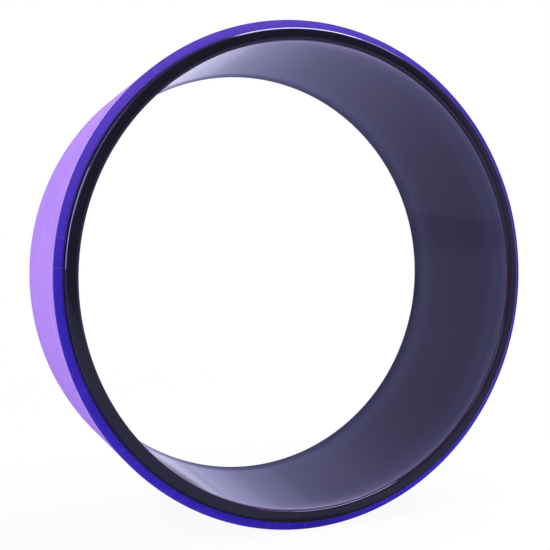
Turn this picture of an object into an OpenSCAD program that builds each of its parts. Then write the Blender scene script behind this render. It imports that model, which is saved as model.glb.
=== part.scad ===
// Yoga wheel: a plastic tube with a moulded ring over each end, wrapped in a glued foam mat.
// The wheel stands on its tread. Its axis runs along Y, the front ring looks along -Y,
// +Z is up, and the origin is the middle of the wheel. All sizes are in millimetres.

/* [Wheel] */
// Diameter over the mat
wheel_d = 330; // [250:1:420]
// Width from the face of one end ring to the face of the other
wheel_w = 127; // [90:1:220]

/* [Tube] */
// Wall of the plastic tube
tube_wall = 7; // [5:0.25:12]

/* [End rings] */
// Thickness of a ring over the end of the tube, which is also how far it stands out from the mat
ring_t = 6; // [3:0.25:9]
// How far a ring's lip stands in from the bore of the tube, at the front of its long cove
lip_step = 1; // [0.5:0.1:2.5]
// Length of the skirt that plugs into the tube
skirt_len = 7; // [2:0.25:12]
// Depth of the seat turned into the tube's bore for the skirt
seat_depth = 1.5; // [0.8:0.1:2.5]
// Gap around the skirt, filled by a film of cement
skirt_gap = 0.1; // [0.05:0.05:0.3]
// Rounding of the outer edge of the ring's face
outer_round = 2; // [0.5:0.1:2.4]
// Rounding of the inner edge of the ring's face
inner_round = 2; // [0.5:0.1:2.4]
// Small rounding of the edge behind the ring's face, where the mould's halves meet
edge_break = 0.4; // [0.2:0.05:0.6]

/* [Mat] */
// Thickness of the foam under the skin
foam_t = 5.1; // [2:0.1:12]
// Thickness of the ribbed skin
skin_t = 0.6; // [0.55:0.05:1.5]
// Thickness of the adhesive under the foam
glue_t = 0.2; // [0.1:0.05:0.5]
// Air between the tube and the adhesive, so that the two curved faces don't cross
glue_gap = 0.1; // [0.06:0.01:0.2]
// Distance from one groove of the tread to the next
groove_pitch = 3; // [2:0.25:8]
// Width of a groove at the surface
groove_w = 1; // [0.6:0.1:1.6]
// Depth of a groove
groove_depth = 0.25; // [0.1:0.05:0.3]
// Plain band beside the grooves at each edge of the tread
tread_land = 3; // [1.5:0.25:12]
// Rounding of the tread's edges
tread_round = 0.4; // [0.2:0.05:0.5]

/* [Joint in the mat] */
// Gap where the two ends of the strip meet
joint_gap = 0.4; // [0.2:0.1:1.5]
// Where the ends meet, in degrees up from +X, so that -90 is the bottom
joint_at = -90; // [-180:1:180]

/* [Hidden] */
$fn = 180;

plastic = [0.15, 0.14, 0.19];
ring_plastic = [0.12, 0.11, 0.15];
glue = [0.20, 0.18, 0.24];
foam = [0.24, 0.18, 0.74];
skin = [0.71, 0.55, 0.97];

// Radii, from the tread inwards
wheel_r = wheel_d / 2;
foam_r = wheel_r - skin_t;
glue_r = foam_r - foam_t;
tube_r = glue_r - glue_t - glue_gap;
bore_r = tube_r - tube_wall;
seat_r = bore_r + seat_depth;
lip_r = bore_r - lip_step;

// Lengths along the axis. The mat ends flush with the tube.
face_y = wheel_w / 2;
tube_end = face_y - ring_t;
tube_len = 2 * tube_end;
seat_len = skirt_len + skirt_gap;

// The cove inside a ring starts level with the bore and reaches the lip where the rounding begins
skirt_end = tube_end - skirt_len;
cove_len = face_y - inner_round - skirt_end;
cove_r = (cove_len * cove_len + lip_step * lip_step) / (2 * lip_step);

// The gap of the joint as an angle at the tread
joint_angle = joint_gap / wheel_r * 180 / PI;

// As many grooves as fit between the plain bands, in the middle of the tread
grooved_w = tube_len - 2 * tread_land - groove_w;
groove_n = floor(grooved_w / groove_pitch) + 1;
first_groove = -(groove_n - 1) * groove_pitch / 2;

// The three points of one groove in the section of the tread
function groove_at(y) = [
    [wheel_r, y - groove_w / 2],
    [wheel_r - groove_depth, y],
    [wheel_r, y + groove_w / 2]
];

// What comes off a square corner to round it by r. The corner is at the origin, and the
// material lies along +X and +Y.
module corner_waste(r) {
    difference() {
        translate([-r, -r]) square(2 * r);
        translate([r, r]) circle(r);
    }
}

// Turns a section about the wheel's axis. The section's X is the radius and its Y runs to the rear.
module turned() {
    rotate([-90, 0, 0]) rotate_extrude() children();
}

// A band from one radius to another, of the length of the tube
module band(r_in, r_out) {
    translate([r_in, -tube_end]) square([r_out - r_in, tube_len]);
}

// Bends a section nearly all the way round, as the strip lies, and leaves the gap of its joint
module bent() {
    rotate([-90, -joint_at, 0])
        rotate_extrude(angle = 360 - joint_angle, start = joint_angle / 2) children();
}

// Section of the tube, with a seat for a skirt at each end
module tube_section() {
    difference() {
        band(bore_r, tube_r);
        for (end = [0, 1])
            mirror([0, end])
                translate([lip_r, tube_end - seat_len]) square([seat_r - lip_r, seat_len + ring_t]);
    }
}

// Section of the rear ring: a face over the end of the tube, and a skirt in its bore that a shallow
// cove thickens towards the lip
module ring_section() {
    difference() {
        union() {
            translate([lip_r, tube_end]) square([tube_r - lip_r, ring_t]);
            translate([lip_r, skirt_end])
                square([seat_r - skirt_gap - lip_r, skirt_len + ring_t / 2]);
        }
        translate([bore_r - cove_r, skirt_end]) circle(cove_r);
        translate([tube_r, face_y]) rotate(180) corner_waste(outer_round);
        translate([lip_r, face_y]) rotate(-90) corner_waste(inner_round);
        translate([tube_r, tube_end]) rotate(90) corner_waste(edge_break);
    }
}

// Section of the skin, with its grooves and its rounded edges
module skin_section() {
    tread = [for (i = [0 : groove_n - 1]) each groove_at(first_groove + i * groove_pitch)];
    difference() {
        polygon([
            [foam_r, -tube_end], [wheel_r, -tube_end],
            each tread,
            [wheel_r, tube_end], [foam_r, tube_end]
        ]);
        translate([wheel_r, tube_end]) rotate(180) corner_waste(tread_round);
        translate([wheel_r, -tube_end]) rotate(90) corner_waste(tread_round);
    }
}

module drum() {
    color(plastic) turned() tube_section();
}

module rear_ring() {
    color(ring_plastic) turned() ring_section();
}

module front_ring() {
    color(ring_plastic) turned() mirror([0, 1]) ring_section();
}

module glue_film() {
    color(glue) bent() band(tube_r + glue_gap, glue_r);
}

module mat_foam() {
    color(foam) bent() band(glue_r, foam_r);
}

module mat_skin() {
    color(skin) bent() skin_section();
}

drum();
front_ring();
rear_ring();
glue_film();
mat_foam();
mat_skin();
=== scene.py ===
# %% [markdown]
# # A yoga wheel in a pale studio
# The wheel is a wide plastic tube with a moulded ring over each end and a foam mat glued round it. The
# CAD model already holds its sizes, so it is loaded first and everything below is fitted to it. The wheel
# could also be modelled by eye over the photograph, but then the looks and the physics would drift apart,
# so one frame serves both.

# %% Load the CAD frame
import math

import bmesh
import bpy
from mathutils import Euler, Matrix, Vector, noise


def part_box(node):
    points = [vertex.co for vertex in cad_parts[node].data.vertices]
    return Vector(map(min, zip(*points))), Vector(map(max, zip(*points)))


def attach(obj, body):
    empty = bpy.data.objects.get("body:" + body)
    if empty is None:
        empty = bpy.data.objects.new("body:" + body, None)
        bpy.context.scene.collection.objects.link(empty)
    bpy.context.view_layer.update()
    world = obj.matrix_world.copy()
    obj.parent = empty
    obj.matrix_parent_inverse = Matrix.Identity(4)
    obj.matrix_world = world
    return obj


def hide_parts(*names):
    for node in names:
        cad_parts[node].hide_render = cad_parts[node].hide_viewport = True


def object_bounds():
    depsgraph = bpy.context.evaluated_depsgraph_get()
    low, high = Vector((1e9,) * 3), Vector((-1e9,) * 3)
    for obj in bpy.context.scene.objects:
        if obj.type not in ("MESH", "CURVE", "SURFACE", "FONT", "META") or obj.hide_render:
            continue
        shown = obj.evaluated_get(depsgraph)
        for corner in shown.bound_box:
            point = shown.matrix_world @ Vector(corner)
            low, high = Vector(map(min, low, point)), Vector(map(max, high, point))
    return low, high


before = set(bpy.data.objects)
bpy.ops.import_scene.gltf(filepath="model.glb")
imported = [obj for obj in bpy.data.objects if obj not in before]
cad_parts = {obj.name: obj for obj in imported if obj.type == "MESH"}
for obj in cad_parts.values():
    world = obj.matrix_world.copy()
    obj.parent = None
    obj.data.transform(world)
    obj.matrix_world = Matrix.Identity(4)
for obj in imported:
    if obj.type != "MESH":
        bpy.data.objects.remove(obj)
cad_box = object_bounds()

print("CAD nodes:", ", ".join(sorted(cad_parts)))
print("CAD box:", [round(v, 4) for corner in cad_box for v in corner])

# %% [markdown]
# ## The sizes that the pieces share
# The outer sizes are read from the boxes of the CAD nodes, so the pieces follow the CAD if it changes.
# The small ones, such as the depth of a seat, can't be read from a box, so they are repeated here in
# millimetres, as they stand in the CAD source. Both kinds are sizes of the real wheel, which keeps the
# roundings true to it.

# %% Sizes
MM = 0.001
SKIN_T, FOAM_T, TUBE_WALL = 0.6 * MM, 5.1 * MM, 7 * MM
SEAT_DEPTH, SKIRT_GAP, LIP_STEP = 1.5 * MM, 0.1 * MM, 1 * MM


def radius_of(node):
    """Outer radius of a round CAD node, from the width of its box."""
    low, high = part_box(node)
    return (high.x - low.x) / 2


WHEEL_R = round(radius_of("mat_skin"), 5)  # over the tread
FOAM_R = WHEEL_R - SKIN_T  # under the skin
GLUE_R = FOAM_R - FOAM_T  # under the foam
TUBE_R = round(radius_of("drum"), 5)  # outside of the tube
BORE_R = TUBE_R - TUBE_WALL  # inside of the tube
SEAT_R = BORE_R + SEAT_DEPTH  # bottom of the seat for a ring's skirt
SKIRT_R = SEAT_R - SKIRT_GAP  # outside of a ring's skirt
LIP_R = BORE_R - LIP_STEP  # lip of a ring
FACE_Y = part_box("rear_ring")[1].y  # face of a ring
TUBE_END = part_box("drum")[1].y  # end of the tube and of the mat
SKIRT_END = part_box("rear_ring")[0].y  # inner end of the rear ring's skirt
PITCH = 3 * MM  # from one groove of the tread to the next
print(f"tread radius {WHEEL_R:.4f}, tube {BORE_R:.4f} to {TUBE_R:.4f}, width {2 * FACE_Y:.4f} m")

# %% [markdown]
# ## The camera
# The picture is taken a little to the left of the wheel's axis and almost level, from about 0.6 m. Its
# place comes from circles: the outline of the mat and the two edges of the bore are circles of known
# size, and only one camera sees all of them as the photograph does. A camera set by eye would get the
# crescent of the inner wall wrong.

# %% Camera
EYE_AT = (-0.2363, -0.5635, 0.0133)  # metres
YAW, DOWN = 22.53, 1.28  # degrees to the right of +Y, and below the horizon
FOCAL_PX, FRAME_PX = 858.6, 550  # focal length and width of the picture, in pixels
SENSOR = 36.0  # millimetres
eye = bpy.data.cameras.new("photo_camera")
eye.sensor_width = SENSOR
eye.lens = FOCAL_PX / FRAME_PX * SENSOR
eye.clip_start, eye.clip_end = 0.05, 60
camera = bpy.data.objects.new("photo_camera", eye)
camera.location = EYE_AT
camera.rotation_euler = Euler((math.radians(90 - DOWN), 0, math.radians(-YAW)))
bpy.context.scene.collection.objects.link(camera)
bpy.context.scene.camera = camera
bpy.context.scene.view_settings.view_transform = "Standard"
print(f"lens {eye.lens:.2f} mm, {camera.location.length:.3f} m from the middle of the wheel")

# %% [markdown]
# ## Shader maths in plain Python
# A finish is a web of nodes, and long webs are hard to read as lists of links. Two small classes help: a
# `Wire` is the output of a node, on which + - * / make Math nodes, and a `Web` is the tree, whose one
# method `node` makes any node with its settings and its sockets. The editor would show the same nodes,
# but here the sums read as sums.


# %% Wires and webs
class Wire:
    """The output socket of a node. Arithmetic on it adds Math nodes to its web."""

    def __init__(self, web, socket):
        self.web, self.socket = web, socket

    def math(self, operation, *others):
        """A Math node on this value, and on a second one where the operation takes two."""
        return self.web.math(operation, self, *others)

    def __add__(self, other):
        return self.math("ADD", other)

    def __sub__(self, other):
        return self.math("SUBTRACT", other)

    def __mul__(self, other):
        return self.math("MULTIPLY", other)

    def __truediv__(self, other):
        return self.math("DIVIDE", other)

    def __radd__(self, other):
        return self.web.math("ADD", other, self)

    def __rsub__(self, other):
        return self.web.math("SUBTRACT", other, self)

    def __rmul__(self, other):
        return self.web.math("MULTIPLY", other, self)

    def __rtruediv__(self, other):
        return self.web.math("DIVIDE", other, self)

    def __abs__(self):
        return self.math("ABSOLUTE")

    def or_more(self, other):
        """The larger of two values."""
        return self.math("MAXIMUM", other)

    def rise(self, start, end):
        """0 at start, 1 at end and a soft step between them. It falls where end is the smaller."""
        kind = {"interpolation_type": "SMOOTHSTEP"}
        sockets = {"Value": self, "From Min": start, "From Max": end}
        return self.web.node("ShaderNodeMapRange", kind, sockets)

    def near(self, middle, reach):
        """1 at middle, falling softly to 0 at reach from it."""
        return 1 - abs(self - middle).rise(0, reach)


class Web:
    """A node tree. node() makes any node: its settings first, then the values or links of its sockets."""

    def __init__(self, tree):
        self.tree = tree
        tree.nodes.clear()

    def node(self, kind, settings=None, inputs=None, out=0):
        made = self.tree.nodes.new(kind)
        for key, value in (settings or {}).items():
            setattr(made, key, value)
        for key, value in (inputs or {}).items():
            if isinstance(value, Wire):
                self.tree.links.new(value.socket, made.inputs[key])
            else:
                made.inputs[key].default_value = value
        return Wire(self, made.outputs[out]) if len(made.outputs) else None

    def math(self, operation, *values):
        return self.node("ShaderNodeMath", {"operation": operation}, dict(enumerate(values)))

    def other(self, wire, name):
        """Another output of the node that a wire comes from."""
        return Wire(self, wire.socket.node.outputs[name])

    def blend(self, share, first, second):
        """A colour between two, by a share from 0 to 1."""
        return self.node("ShaderNodeMix", {"data_type": "RGBA"}, {0: share, 6: first, 7: second}, out=2)

    def grain(self, where, scale, detail=2.0, roughness=0.5):
        """Noise from 0 to 1. One swell of it is about 1 / scale metres wide."""
        sockets = {"Vector": where, "Scale": scale, "Detail": detail, "Roughness": roughness}
        return self.node("ShaderNodeTexNoise", None, sockets)

    def bump(self, height, distance, strength=1.0, onto=None):
        """A Normal for a height from 0 to 1 of a distance in metres, on top of another if it has one."""
        sockets = {"Height": height, "Distance": distance, "Strength": strength}
        if onto is not None:
            sockets["Normal"] = onto
        return self.node("ShaderNodeBump", None, sockets)


def finish(name):
    """A new material and its web."""
    material = bpy.data.materials.new(name)
    material.use_nodes = True
    return material, Web(material.node_tree)


def surface(web, **sockets):
    """Ends a web in a Principled BSDF. Socket names are given with _ for a space."""
    named = {key.replace("_", " "): value for key, value in sockets.items()}
    shader = web.node("ShaderNodeBsdfPrincipled", None, named)
    web.node("ShaderNodeOutputMaterial", None, {"Surface": shader})


print("shader helpers ready")

# %% [markdown]
# ## Places on a wheel
# Every finish on the wheel follows its roundness: the streaks of the tread run round it, and the knife
# marks run across its side. A UV map could carry that, but the wheel is centred on the origin, so Object
# coordinates give the same from three sums: the place along the axis, the distance from the axis and the
# angle round it.


# %% Round coordinates
class Place:
    """Where a point of the wheel is: along its axis, out from it and round it, in metres and radians."""

    def __init__(self, web):
        self.point = web.node("ShaderNodeTexCoord", None, None, out="Object")
        x = web.node("ShaderNodeSeparateXYZ", None, {0: self.point})
        self.along, z = web.other(x, "Y"), web.other(x, "Z")
        flat = web.node("ShaderNodeCombineXYZ", None, {0: x, 2: z})
        self.out = web.node("ShaderNodeVectorMath", {"operation": "LENGTH"}, {0: flat}, out="Value")
        self.angle = z.math("ARCTAN2", x)  # up from +X
        self.web = web

    def stretched(self, along, round_it):
        """Coordinates for a pattern that is longer one way than the other. The angle goes in as a point
        on a circle, so that the pattern has no seam."""
        turn_x = self.angle.math("COSINE") * round_it
        turn_z = self.angle.math("SINE") * round_it
        return self.web.node("ShaderNodeCombineXYZ", None, {0: turn_x, 1: self.along * along, 2: turn_z})


print("round coordinates ready")

# %% [markdown]
# ## What the eye and a mirror see
# The photograph has a white sweep behind and under the wheel. Brighter air would give that white, but it
# would wash the purple out, so the light on the wheel stays plain and only what the camera or a gloss
# sees is white. The kind of ray tells the two apart. A gloss needs more than white, though: a mirrored
# studio has a dark side where the photographer stands, so these helpers say which way a ray looks.

# %% Kinds of ray and ways to look
LEFT, RIGHT, FRONT, UP = (-1, 0, 0), (1, 0, 0), (0, -1, 0), (0, 0, 1)


def seen_by_eye_or_mirror(web):
    """1 for camera, glossy and transmission rays, and 0 for the light that falls on things."""
    path = web.node("ShaderNodeLightPath", None, None, out="Is Camera Ray")
    return path.or_more(web.other(path, "Is Glossy Ray")).or_more(web.other(path, "Is Transmission Ray"))


def mirrored_only(web):
    """1 for what a glossy surface mirrors, and 0 for all else."""
    return web.node("ShaderNodeLightPath", None, None, out="Is Glossy Ray")


def grey(web, level):
    return web.node("ShaderNodeCombineColor", None, {0: level, 1: level, 2: level})


def towards(web, where, way):
    """How far a point lies that way. For a heading, 1 where it runs that way and 0 across it."""
    return web.node("ShaderNodeVectorMath", {"operation": "DOT_PRODUCT"}, {0: where, 1: way}, out="Value")


def ahead(web, heading):
    """1 on the photographer's side, from straight ahead of the wheel to its left, and 0 elsewhere."""
    return towards(web, heading, RIGHT).rise(0.6, 0.5) * towards(web, heading, FRONT).rise(0.25, 0.45)


print("ray helpers ready")

# %% [markdown]
# ## The air
# The air lights the wheel evenly, as the walls of a pale studio do. To a mirror it has the parts that the
# gloss of the real wheel shows: a nearly dark photographer's side, a darker left wall, a ceiling a shade
# darker than white, and the top of the sweep at the right. A photograph of a studio on the world would do
# the same, but these few soft steps can be moved until each lies where the wall of the tube shows it.

# %% Air
AIR_LIGHT = (0.46, 0.46, 0.53, 1)  # what the air gives to matt surfaces
# how much darker than white the parts of the room are to a mirror
PHOTOGRAPHER, LEFT_WALL, CEILING, SWEEP_TOP, SWEEP_EDGE = 0.7, 0.5, 0.15, 0.12, 0.10

world = bpy.data.worlds.new("white_air")
world.use_nodes = True
bpy.context.scene.world = world
air = Web(world.node_tree)
heading = air.node("ShaderNodeTexCoord", None, None, out="Generated")
left, right, up = (towards(air, heading, way) for way in (LEFT, RIGHT, UP))
sweep = right.rise(0.0, 0.35) * up.rise(0.1, 0.2) * SWEEP_TOP
sweep = sweep + right.rise(0.1, 0.3) * up.rise(0.298, 0.308) * SWEEP_EDGE
shade = sweep.or_more(up.rise(0.28, 0.55) * CEILING)
shade = shade.or_more(left.rise(0.6, 0.85) * LEFT_WALL)
shade = shade.or_more(ahead(air, heading) * PHOTOGRAPHER)
white = grey(air, 1 - shade * mirrored_only(air))
colour = air.blend(seen_by_eye_or_mirror(air), AIR_LIGHT, white)
sky = air.node("ShaderNodeBackground", None, {"Color": colour})
air.node("ShaderNodeOutputWorld", None, {"Surface": sky})
print(f"{len(air.tree.nodes)} nodes in the air")

# %% [markdown]
# ## The floor
# The wheel stands on the pale sweep, and the photograph has its shadow cut away. The floor is a matt
# white that is mostly replaced by its own glow for the eye, so that it matches the air, and near the
# wheel a little more of the matt shows through and keeps a faint shadow. To a mirror it is darker far off
# on the photographer's side, under the front of the wheel, where a painted shadow is what the rounding
# of the ring mirrors, in a wedge behind the wheel at the left, and where the sweep folds up at the right.
# A white plane under brighter lamps would need none of this, but the gloss would lose its drawing.

# %% Floor
FLOOR_R = 20.0  # metres
BEHIND_LEFT = (-0.883, 0.469, 0)  # the way to the wedge
# how much darker than white the parts of the floor are to a mirror
WEDGE, FOLD, CREASE, SHADOW_UNDER_WHEEL = 0.16, 0.14, 0.12, 0.75
GLOW_NEAR, GLOW_FAR = 0.93, 1.0  # share of the glow at the wheel and away from it

floor_finish, web = finish("pale_floor")
spot = web.node("ShaderNodeTexCoord", None, None, out="Object")
reach = web.node("ShaderNodeVectorMath", {"operation": "LENGTH"}, {0: spot}, out="Value")
heading = web.node("ShaderNodeVectorMath", {"operation": "NORMALIZE"}, {0: spot})
far_ahead = ahead(web, heading) * reach.rise(0.9, 3.0) * PHOTOGRAPHER
wedge = towards(web, spot, BEHIND_LEFT).rise(0.47, 0.53) * reach.rise(1.9, 0.9) * WEDGE
fold = reach.rise(0.3, 0.9) * reach.rise(12, 3) * FOLD + reach.near(2.1, 0.1) * CREASE
fold = fold * towards(web, heading, RIGHT).rise(0.0, 0.35)
# painted shadow under the front of the wheel, seen only in gloss
under = towards(web, spot, FRONT).rise(0.1, 0.08) * reach.rise(0.35, 0.2) * SHADOW_UNDER_WHEEL
shade = far_ahead.or_more(wedge + fold).or_more(under)
glow = web.node("ShaderNodeEmission", None, {"Color": grey(web, 1 - shade * mirrored_only(web))})
paint = grey(web, web.grain(spot, 40.0) * 0.01 + 0.9)
matt = web.node("ShaderNodeBsdfPrincipled", None,
                {"Base Color": paint, "Roughness": 0.8, "Specular IOR Level": 0.0})
share = (GLOW_NEAR + (GLOW_FAR - GLOW_NEAR) * reach.rise(0.25, 0.9)) * seen_by_eye_or_mirror(web)
mixed = web.node("ShaderNodeMixShader", None, {0: share, 1: matt, 2: glow})
web.node("ShaderNodeOutputMaterial", None, {"Surface": mixed})

ground = bmesh.new()
bmesh.ops.create_circle(ground, cap_ends=True, segments=64, radius=FLOOR_R)
floor_mesh = bpy.data.meshes.new("floor")
ground.to_mesh(floor_mesh)
ground.free()
floor_mesh.materials.append(floor_finish)
floor = bpy.data.objects.new("floor", floor_mesh)
floor.location.z = cad_box[0].z
bpy.context.scene.collection.objects.link(floor)
print(f"floor at {floor.location.z:.4f} m")

# %% [markdown]
# ## The lamps
# The highlights in the photograph say where its lamps were. A rounding mirrors a softbox as a thin line,
# and the ends of the line give the ends of the box: one overhead and one at the left. These two boxes
# only show in gloss, so they could be placed without changing the light on the mat. That light comes from
# two larger boxes, overhead and at the left, where the tread is brightest, and from the white floor in
# front, for which a small lamp low down stands in. Point lamps would give dots in the gloss, where area
# lamps give lines.


# %% Lamps
def softbox(name, place, aim, size, power, colour=(1, 1, 1), lights=True, shines=True):
    """An area lamp. lights is False for one that only shows in gloss, shines for one that never does."""
    lamp = bpy.data.lights.new(name, "AREA")
    lamp.shape = "RECTANGLE"
    lamp.size, lamp.size_y = size
    lamp.energy, lamp.color = power, colour
    box = bpy.data.objects.new(name, lamp)
    box.location = place
    box.rotation_euler = (Vector(aim) - Vector(place)).to_track_quat("-Z", "Y").to_euler()
    box.visible_camera = False
    box.visible_diffuse, box.visible_glossy = lights, shines
    bpy.context.scene.collection.objects.link(box)
    print(f"{name}: {power:g} W over {size[0]:g} x {size[1]:g} m")


WARM = (1.0, 0.92, 0.84)
softbox("top_box", (0.45, 0.0, 1.1), (0, 0, 0), (1.1, 0.9), 14)
softbox("top_shine", (0.36, 0.0, 1.08), (0.36, 0, 0), (0.68, 0.9), 30, lights=False)
softbox("left_box", (-1.0, -0.5, 0.72), (0, 0, 0), (0.7, 0.8), 6.6, WARM)
softbox("left_shine", (-1.18, 0.2, 0.39), (0, 0.2, 0.39), (0.6, 0.72), 18.5, lights=False)
softbox("floor_bounce", (0.06, -0.2, -0.14), (0.02, -0.06, -0.16), (0.2, 0.04), 0.045, shines=False)

# %% [markdown]
# ## Black plastic with a violet cast
# The tube and its rings are black plastic with a high gloss. What shows on them is mostly the white
# studio in the gloss: dark where it is seen square on, pale where the eye skims along it. In the
# photograph that gloss is violet, so the clear top of the plastic takes some of the red and green away,
# as a coat with a tint does. Painting the wall pale violet would look right from one side only. Three
# faint colours are painted under that gloss, and all of them are painted light. The bore is painted
# lighter towards both ends, where more light reaches it. The front cove is painted paler and warmer at
# the top and bottom of the wheel as a painted reflection. The very lip is painted brown as a painted
# reflection of the purple mat.

# %% Plastic
COAT_TINT = (0.655, 0.633, 0.98, 1)
# painted light under the gloss: lighter ends of the bore, then a paler, warmer cove at top and bottom and
# a brown lip as painted reflections
PAINTED_END_LIGHT, PAINTED_END_LIGHT_FROM, PAINTED_END_LIGHT_FULL = (0.034, 0.030, 0.056, 1), 24 * MM, 52 * MM  # to both sides of the middle
PAINTED_COVE_REFLECTION, PAINTED_COVE_REFLECTION_FROM, PAINTED_COVE_REFLECTION_FULL = (0.098, 0.054, 0.088, 1), -42 * MM, -51 * MM  # towards the front
PAINTED_COVE_REFLECTION_DULLS = 0.2  # share of the coat that the painted reflection takes away
PAINTED_LIP_REFLECTION = (0.032, 0.013, 0.024, 1)  # the brown tinge
CLOUDS = 0.8, 1.25  # the plastic's darkest and lightest parts, as shares of its colour


def black_plastic(name, colour, roughness, wave, shine=(1, 1, 1, 1)):
    """wave is how far the surface swells, in metres, over some centimetres, and shine tints the gloss as
    it is seen square on."""
    material, web = finish(name)
    place = Place(web)
    inside = abs(place.along)
    off_face = inside.rise(FACE_Y - 1 * MM, FACE_Y - 3 * MM)
    # painted light: the bore is lighter towards both ends
    painted_end_light = inside.rise(PAINTED_END_LIGHT_FROM, PAINTED_END_LIGHT_FULL) * off_face
    upright = abs(towards(web, place.point, UP)) / place.out
    # painted reflection: the front cove is paler and warmer at the top and bottom of the wheel, with less
    # coat there
    painted_cove_reflection = upright.math("POWER", 10) * place.along.rise(PAINTED_COVE_REFLECTION_FROM, PAINTED_COVE_REFLECTION_FULL) * off_face
    # painted reflection of the purple mat: the very lip is tinted brown
    at_lip = place.out.rise(LIP_R + 2.2 * MM, LIP_R + 1.4 * MM)
    at_lip = at_lip * inside.rise(FACE_Y - 2 * MM, FACE_Y - 1.5 * MM)
    dark, light = (tuple(c * level for c in colour) + (1,) for level in CLOUDS)
    plain = web.blend(painted_end_light, web.blend(web.grain(place.point, 30.0, detail=3.0), dark, light), PAINTED_END_LIGHT)
    dusty = web.grain(place.stretched(40.0, 6.0), 3.0, detail=4.0)
    swell = web.bump(web.grain(place.stretched(9.0, 1.6), 1.0, detail=1.0), wave)
    peel = web.bump(web.grain(place.point, 900.0, detail=2.0), 0.004 * MM, onto=swell)
    surface(
        web,
        Base_Color=web.blend(at_lip, web.blend(painted_cove_reflection, plain, PAINTED_COVE_REFLECTION), PAINTED_LIP_REFLECTION),
        Roughness=dusty * 0.05 + (roughness - 0.025),
        IOR=1.447,
        Specular_Tint=shine,
        Coat_Weight=1 - painted_cove_reflection * PAINTED_COVE_REFLECTION_DULLS,
        Coat_Roughness=0.05,
        Coat_IOR=1.08,
        Coat_Tint=COAT_TINT,
        Normal=peel,
    )
    print(f"{name}: {len(web.tree.nodes)} nodes")
    return material


tube_finish = black_plastic("tube_black", (0.004, 0.003, 0.007), 0.045, 0.1 * MM)
rim_finish = black_plastic("rim_black", (0.011, 0.007, 0.013), 0.07, 0.03 * MM, (0.80, 0.92, 1.0, 1))

# %% [markdown]
# ## Turning a section into a ring
# Every piece of this wheel is one flat section turned round the axis, as on a lathe. The section starts
# as a few corners, which a vertex bevel rounds, and a spin turns it. Starting from a cylinder and cutting
# it would give the same ring, but with many more steps to keep clean.

# %% Section and spin
AXIS = (0.0, 1.0, 0.0)  # of the wheel
STEPS = 480  # of a spin, in all
CREASE_ANGLE = 40.0  # degrees from which an edge stays crisp
SAME = 1e-6  # metres within which two points are one


def section(corners):
    """A flat face with these corners, given as (out from the axis, along the axis)."""
    bm = bmesh.new()
    bm.faces.new([bm.verts.new((r, y, 0)) for r, y in corners])
    return bm


def round_corner(bm, corner, radius, segments):
    vert = min(bm.verts, key=lambda v: (v.co - Vector((*corner, 0))).length)
    bmesh.ops.bevel(
        bm, geom=[vert], offset=radius, affect="VERTICES", segments=segments, profile=0.5, material=-1
    )


def spin(bm, degrees=360.0):
    """Turns the outline of the section about the wheel's axis: an eighth by a spin, doubled three times
    by turned copies. The two ends of a part turn are closed with a face each."""
    bmesh.ops.delete(bm, geom=bm.faces[:], context="FACES_ONLY")
    eighth = math.radians(degrees) / 8
    bmesh.ops.spin(
        bm, geom=bm.verts[:] + bm.edges[:], cent=(0, 0, 0), axis=AXIS, angle=eighth, steps=STEPS // 8
    )
    for doubling in range(3):
        copy = bmesh.ops.duplicate(bm, geom=bm.verts[:] + bm.edges[:] + bm.faces[:])["geom"]
        verts = [v for v in copy if isinstance(v, bmesh.types.BMVert)]
        turned = Matrix.Rotation(eighth * 2**doubling, 3, AXIS)
        bmesh.ops.rotate(bm, verts=verts, cent=(0, 0, 0), matrix=turned)
    bmesh.ops.remove_doubles(bm, verts=bm.verts[:], dist=SAME)
    bmesh.ops.holes_fill(bm, edges=[e for e in bm.edges if e.is_boundary], sides=0)
    bmesh.ops.recalc_face_normals(bm, faces=bm.faces[:])


def piece(bm, name, material, node):
    """Makes the mesh an object that stands for a CAD node."""
    for face in bm.faces:
        face.smooth = True
    for edge in bm.edges:
        edge.smooth = edge.calc_face_angle(0) < math.radians(CREASE_ANGLE)
    holes = sum(1 for edge in bm.edges if not edge.is_manifold)
    mesh = bpy.data.meshes.new(name)
    bm.to_mesh(mesh)
    bm.free()
    mesh.materials.append(material)
    made = bpy.data.objects.new(name, mesh)
    bpy.context.scene.collection.objects.link(made)
    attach(made, "root")
    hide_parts(node)
    triangles = sum(len(p.vertices) - 2 for p in mesh.polygons)
    print(f"{name}: {triangles} triangles, {holes} open edges")


print(f"lathe ready, {STEPS} steps a turn")

# %% [markdown]
# ## The tube
# The load is carried by a thick plastic tube, and each end of its bore has a shallow seat for the skirt
# of a ring. Two cylinders could be cut from each other for it, but a boolean leaves long thin faces that
# show in a gloss, so the section is drawn with its seats and turned in one go.

# %% Tube
seat_y = SKIRT_END - SKIRT_GAP
bm = section([
    (TUBE_R, -TUBE_END), (TUBE_R, TUBE_END), (SEAT_R, TUBE_END), (SEAT_R, seat_y),
    (BORE_R, seat_y), (BORE_R, -seat_y), (SEAT_R, -seat_y), (SEAT_R, -TUBE_END),
])
spin(bm)
piece(bm, "tube", tube_finish, "drum")

# %% [markdown]
# ## The end rings
# A moulded ring covers each end of the tube: a rounded face, and a skirt in the bore. Inside, a long
# shallow cove runs from the level of the bore to a lip that stands a millimetre in, which is why the wall
# brightens beside the rim. The cove could be a cone, but a cone mirrors as one flat grey, so it is an arc
# of twelve steps. The roundings catch the long highlights, so they get enough segments to stay smooth.

# %% Rings
OUTER_ROUND, INNER_ROUND, EDGE_BREAK = 2 * MM, 2 * MM, 0.4 * MM
ROUND_STEPS, BREAK_STEPS, COVE_STEPS = 10, 3, 12
INSET = 0.999  # share of the cove's length that keeps its last point off the rounding


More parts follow.
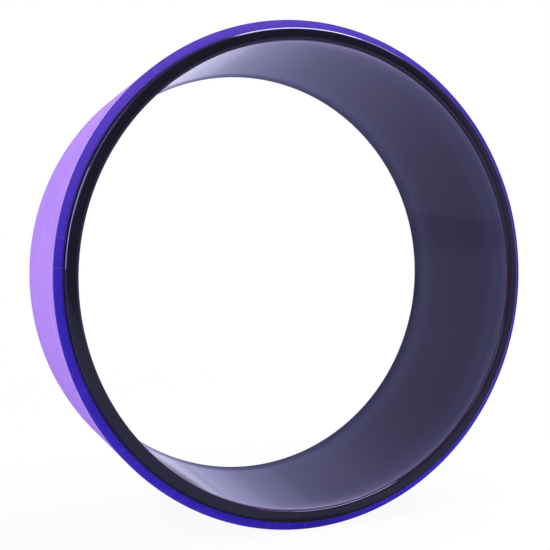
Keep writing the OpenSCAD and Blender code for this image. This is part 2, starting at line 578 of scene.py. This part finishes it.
def cove(side):
    """Points of the arc from the bore at the skirt's end to where the lip's rounding starts."""
    length, depth = FACE_Y - INNER_ROUND - SKIRT_END, BORE_R - LIP_R
    arc_r = (length**2 + depth**2) / (2 * depth)
    reaches = [length * (1 - step / COVE_STEPS) * INSET for step in range(COVE_STEPS + 1)]
    return [(BORE_R - arc_r + math.sqrt(arc_r**2 - far**2), (SKIRT_END + far) * side) for far in reaches]


def end_ring(name, node, side):
    """side is -1 for the front ring and 1 for the rear one."""
    back, skirt_end, face = TUBE_END * side, SKIRT_END * side, FACE_Y * side
    bm = section([
        *cove(side), (SKIRT_R, skirt_end), (SKIRT_R, back), (TUBE_R, back), (TUBE_R, face), (LIP_R, face),
    ])
    round_corner(bm, (TUBE_R, face), OUTER_ROUND, ROUND_STEPS)
    round_corner(bm, (LIP_R, face), INNER_ROUND, ROUND_STEPS)
    round_corner(bm, (TUBE_R, back), EDGE_BREAK, BREAK_STEPS)
    spin(bm)
    piece(bm, name, rim_finish, node)


end_ring("front_rim", "front_ring", -1)
end_ring("rear_rim", "rear_ring", 1)

# %% [markdown]
# ## The cut side of the mat
# The mat is closed-cell foam, cut from a sheet with a knife, so its side shows fine open cells and a few
# pale marks where the knife stopped. Closest to the tube, in the corner against the ring, the side is
# painted darker as painted shade. The upper part is painted paler and redder from the upper left, as
# painted light that the lamps here don't give. An image of foam would need a UV map and would repeat, so
# a cell texture and the angle round the wheel do it.

# %% Foam finish
INDIGO, INDIGO_LIGHT = (0.023, 0.013, 0.50, 1), (0.038, 0.022, 0.57, 1)
INDIGO_PAINTED_LIGHT, UPPER_LEFT = (0.125, 0.060, 0.66, 1), (-0.4, 0, 0.92)  # a paler colour, and its way
CELL, PAINTED_SHADE_AT_RING, SHEEN = (0.11, 0.07, 0.62, 1), (0.012, 0.009, 0.05, 1), (1.0, 0.5, 0.6, 1)
KNIFE_MARK, MARK_REACH = (0.22, 0.16, 0.72, 1), 0.0035  # radians to each side of a mark
MARKS_AT = (171.6, 177.8, -156.0, 137.6, 140.4, 130.1, -96.0, -91.7,
            -101.0, -99.2, 98.0, 99.9, -140.5, -136.4, -125.5, -122.8)  # degrees up from +X

foam_finish, web = finish("cut_foam")
place = Place(web)
cells = web.node("ShaderNodeTexVoronoi", {"feature": "F1"}, {"Vector": place.point, "Scale": 1400.0})
blotch = web.grain(place.point, 160.0, detail=3.0)
indigo = web.blend(blotch, INDIGO, INDIGO_LIGHT)
# painted light: the side is paler and redder towards the upper left
pale = towards(web, place.point, UPPER_LEFT) / place.out
indigo = web.blend(pale.rise(0.3, 1.05), indigo, INDIGO_PAINTED_LIGHT)
indigo = web.blend(cells.rise(0.55, 0.1) * 0.25, indigo, CELL)
for mark in MARKS_AT:
    line = place.angle.near(math.radians(mark), MARK_REACH)
    indigo = web.blend(line * 0.27, indigo, KNIFE_MARK)
# painted shade in the corner where the foam's side meets the ring
painted_shade_at_ring = place.out.rise(GLUE_R + 0.9 * MM, GLUE_R + 0.1 * MM) * 0.75
surface(
    web,
    Base_Color=web.blend(painted_shade_at_ring, indigo, PAINTED_SHADE_AT_RING),
    Roughness=blotch * 0.15 + 0.75,
    Specular_IOR_Level=0.12,
    Sheen_Weight=0.35,
    Sheen_Roughness=0.5,
    Sheen_Tint=SHEEN,
    Normal=web.bump(cells, 0.08 * MM, 0.6),
)
print(f"{len(MARKS_AT)} knife marks")

# %% [markdown]
# ## The tread
# The outside of the mat has a skin, pressed with fine grooves that run round the wheel. It is painted
# much paler than the cut foam, as painted light: the foam's purple as a strong lamp shows it. Faint
# streaks run along the grooves, and the grooves themselves are painted a shade darker, as painted shade,
# since they hold less light. At the very edge the skin is cut too, and takes the colour of the foam. The
# grooves are in the mesh, so the finish only adds what a groove's shape can't: the streaks, a fine grain
# and the darker colour.

# %% Skin finish
# painted light: the lilac is the foam's purple as strong light shows it; the darker groove colour is
# painted shade
LILAC, LILAC_STREAK, LILAC_GRAIN = (0.405, 0.215, 0.90, 1), (0.52, 0.29, 1.0, 1), (0.45, 0.25, 0.94, 1)
GROOVE, CUT_EDGE = (0.33, 0.17, 0.76, 1), (0.05, 0.03, 0.46, 1)

skin_finish, web = finish("ribbed_skin")
place = Place(web)
streak = web.grain(place.stretched(110.0, 2.2), 1.0, detail=4.0, roughness=0.6).rise(0.3, 0.7)
fine = web.grain(place.stretched(1500.0, 30.0), 1.0, detail=2.0)
lilac = web.blend(streak, LILAC, LILAC_STREAK)
lilac = web.blend(fine * 0.3, lilac, LILAC_GRAIN)
from_groove = abs((place.along / PITCH + 0.5).math("FRACT") - 0.5)  # in pitches
lilac = web.blend(from_groove.rise(0.2, 0.05) * 0.5, lilac, GROOVE)
cut = abs(place.along).rise(TUBE_END - 1.25 * MM, TUBE_END - 0.95 * MM)
surface(
    web,
    Base_Color=web.blend(cut, lilac, CUT_EDGE),
    Roughness=fine * 0.12 + 0.62,
    Specular_IOR_Level=0.15,
    Normal=web.bump(fine, 0.02 * MM, 0.4),
)
print(f"skin with {PITCH / MM:g} mm from groove to groove")

# %% [markdown]
# ## The strip
# Foam and skin are one strip, bent round the tube until its ends meet in a butt joint. A flat strip could
# be bent by a modifier, but then its inner side would have to be shortened, so each layer is a section
# turned nearly all the way round. The grooves are cut in the section: the outer edge is split at the
# middle of each groove, each split is widened by a bevel, and its middle is pushed in. Last, the cut
# sides lean back a little towards the tread and wander by a fifth of a millimetre, as a knife does.

# %% Strip
GROOVES, GROOVE_W, GROOVE_DEPTH = 37, 1 * MM, 0.25 * MM
FIRST_GROOVE = -(GROOVES - 1) / 2 * PITCH
TREAD_ROUND = 0.4 * MM
JOINT_AT, JOINT_GAP = -90.0, 0.4 * MM  # degrees up from +X at which the strip's ends meet, and their gap
KNIFE_LEAN = 0.08  # how far the cut leans back, to 1 of the mat's thickness
KNIFE_WANDER, CUT_BAND = 0.12 * MM, 2 * MM  # how far the cut wanders, and the band that it moves
WAVES = (5, 1.0, 0.0), (21, 0.5, 3.0)  # of the wander: pace, strength and a shift that parts them


def grooved(bm):
    """Presses the grooves into the outer edge of the section."""
    outer = [e for e in bm.edges if all(abs(v.co.x - WHEEL_R) < SAME for v in e.verts)]
    split = bmesh.ops.subdivide_edges(bm, edges=outer, cuts=GROOVES)["geom_inner"]
    middles = sorted((v for v in split if isinstance(v, bmesh.types.BMVert)), key=lambda v: v.co.y)
    for count, vert in enumerate(middles):
        vert.co.y = FIRST_GROOVE + count * PITCH
    bmesh.ops.bevel(
        bm, geom=middles, offset=GROOVE_W / 2, affect="VERTICES", segments=2, profile=0.5, material=-1
    )
    pushed = 0
    for vert in bm.verts:
        steps = (vert.co.y - FIRST_GROOVE) / PITCH
        at_middle = abs(steps - round(steps)) < 0.01 and 0 <= round(steps) < GROOVES
        if at_middle and abs(vert.co.x - WHEEL_R) < SAME:
            vert.co.x -= GROOVE_DEPTH
            pushed += 1
    print(f"{pushed} grooves pressed")


def knife_cut(bm):
    """Moves the points near the two cut sides as a knife leaves them."""
    for vert in bm.verts:
        x, y, z = vert.co
        angle = math.atan2(z, x)
        wander = 0.0
        for pace, strength, shift in WAVES:
            swing = Vector((math.cos(angle) * pace, math.sin(angle) * pace, shift))
            wander += strength * noise.noise(swing)
        near_cut = max(0.0, (abs(y) - TUBE_END + CUT_BAND) / CUT_BAND)
        lean = KNIFE_LEAN * (math.hypot(x, z) - GLUE_R)
        vert.co.y -= math.copysign(near_cut * (lean + KNIFE_WANDER * (1 + wander)), y)


def strip(bm, name, material, node):
    """Bends a section round the wheel from one side of the joint to the other."""
    gap = math.degrees(JOINT_GAP / WHEEL_R)
    spin(bm, 360 - gap)
    # the spin ran from +X towards -Z, so the gap lies just above +X until it is turned to the joint
    turn = Matrix.Rotation(-math.radians(JOINT_AT - gap / 2), 3, AXIS)
    bmesh.ops.rotate(bm, verts=bm.verts[:], cent=(0, 0, 0), matrix=turn)
    knife_cut(bm)
    piece(bm, name, material, node)


bm = section([(GLUE_R, -TUBE_END), (FOAM_R, -TUBE_END), (FOAM_R, TUBE_END), (GLUE_R, TUBE_END)])
strip(bm, "foam_strip", foam_finish, "mat_foam")
bm = section([(FOAM_R, -TUBE_END), (WHEEL_R, -TUBE_END), (WHEEL_R, TUBE_END), (FOAM_R, TUBE_END)])
grooved(bm)
for edge_y in (-TUBE_END, TUBE_END):
    round_corner(bm, (WHEEL_R, edge_y), TREAD_ROUND, BREAK_STEPS)
strip(bm, "tread_skin", skin_finish, "mat_skin")

# %% [markdown]
# ## The adhesive
# A film of contact adhesive holds the strip on the tube, and only its edge shows, as a dark thread
# between the mat and the ring. It could be turned like the other pieces, but the CAD film already has the
# right shape and no edge of it catches light, so it stays and only gets a finish.

# %% Adhesive
GLUE_DARK, GLUE_LIGHT = (0.02, 0.016, 0.03, 1), (0.05, 0.04, 0.07, 1)

glue_finish, web = finish("dark_adhesive")
lump = web.grain(Place(web).point, 700.0, detail=2.0)
surface(
    web,
    Base_Color=web.blend(lump, GLUE_DARK, GLUE_LIGHT),
    Roughness=lump * 0.3 + 0.45,
    Normal=web.bump(lump, 0.05 * MM),
)
glue_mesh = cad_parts["glue_film"].data
glue_mesh.materials.clear()
glue_mesh.materials.append(glue_finish)
print(f"adhesive painted, {len(glue_mesh.polygons)} faces")
